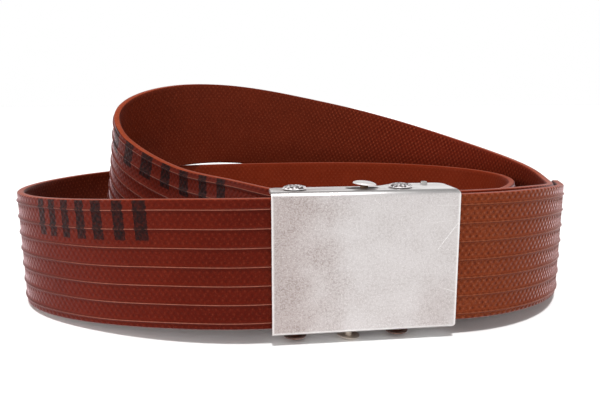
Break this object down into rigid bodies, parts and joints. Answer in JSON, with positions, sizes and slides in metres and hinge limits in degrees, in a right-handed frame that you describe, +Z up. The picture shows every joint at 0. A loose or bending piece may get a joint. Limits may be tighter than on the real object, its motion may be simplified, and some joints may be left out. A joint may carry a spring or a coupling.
{
  "type": "strap belt with plate friction buckle",
  "caption": "Waist belt of ribbed rubber-coated hose strap, fastened through a plain plate friction buckle and stood on its edges in a loose coil with one bend raised over the turn below.",
  "frame": {"origin": "middle of the whole belt's box, on the surface it stands on", "axes": "+X to the viewer's right along the buckle plate, +Y away from the viewer, from the plate into the coil, +Z up"},
  "size_m": [0.2108, 0.1546, 0.0809],
  "materials": {
    "hose_rubber": "brown-red rubber-coated ribbed hose, slightly glossy",
    "satin_plate": "aged satin silver with brownish-grey mottling",
    "pin_steel": "worn bright steel",
    "jaw_steel": "plain steel, hidden"
  },
  "bodies": {
    "root": {"strap": "hose_rubber", "buckle_case": "satin_plate", "roller_bar": "pin_steel", "rivet_left": "pin_steel", "rivet_right": "pin_steel", "clamp_jaw": "jaw_steel"}
  },
  "joints": []
}
